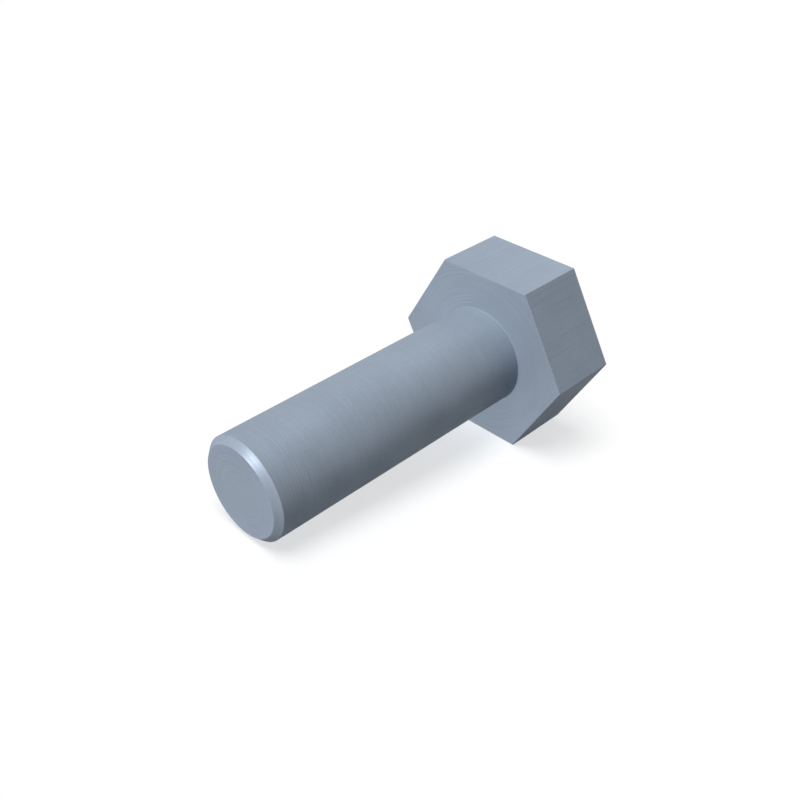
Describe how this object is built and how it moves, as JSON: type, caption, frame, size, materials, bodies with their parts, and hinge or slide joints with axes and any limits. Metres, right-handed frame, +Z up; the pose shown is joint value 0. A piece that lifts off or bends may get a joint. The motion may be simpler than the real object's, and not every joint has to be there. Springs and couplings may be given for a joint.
{
  "type": "hex head screw",
  "caption": "Hexagon head screw with a plain round shank, a chamfered point and a flat unchamfered head, lying at rest on its head and point.",
  "frame": {"origin": "on the surface that the screw lies on, below the middle of its bounding box", "axes": "+X along the screw, from the point towards the head, level with the surface; +Z up; +Y to the side, parallel to the lowest flat of the head"},
  "size_m": [0.0246, 0.0128, 0.0116],
  "materials": {
    "steel": "satin"
  },
  "bodies": {
    "root": {"hex_head_screw": "steel"}
  },
  "joints": []
}
